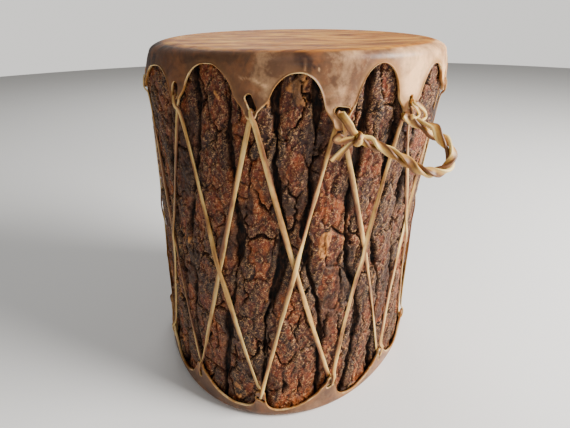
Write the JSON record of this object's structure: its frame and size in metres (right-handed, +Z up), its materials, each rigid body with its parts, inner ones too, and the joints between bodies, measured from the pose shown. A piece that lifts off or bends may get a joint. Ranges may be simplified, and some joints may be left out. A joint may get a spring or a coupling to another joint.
{
  "type": "ceremonial log drum",
  "caption": "Upright log drum with bark left on, rawhide heads with scalloped skirts laced together by a criss-cross thong, and a twisted rawhide handle.",
  "frame": {"origin": "middle of the underside, on the surface the drum stands on", "axes": "+Z up the trunk to the top head, -Y towards the front, with the handle at the front towards +X"},
  "size_m": [0.3228, 0.3314, 0.356],
  "materials": {
    "bark": "rough plated pine bark, red-brown plates with near-black furrows",
    "top_rawhide": "dried rawhide, satin, golden tan with brown and grey patches",
    "bottom_rawhide": "dried rawhide, satin, grey-brown",
    "thong": "dried rawhide thong, cream tan",
    "handle_rawhide": "stiff twisted rawhide, golden tan"
  },
  "bodies": {
    "root": {"log_shell": "bark", "top_head": "top_rawhide", "bottom_head": "bottom_rawhide", "lacing": "thong", "handle": "handle_rawhide"}
  },
  "joints": []
}
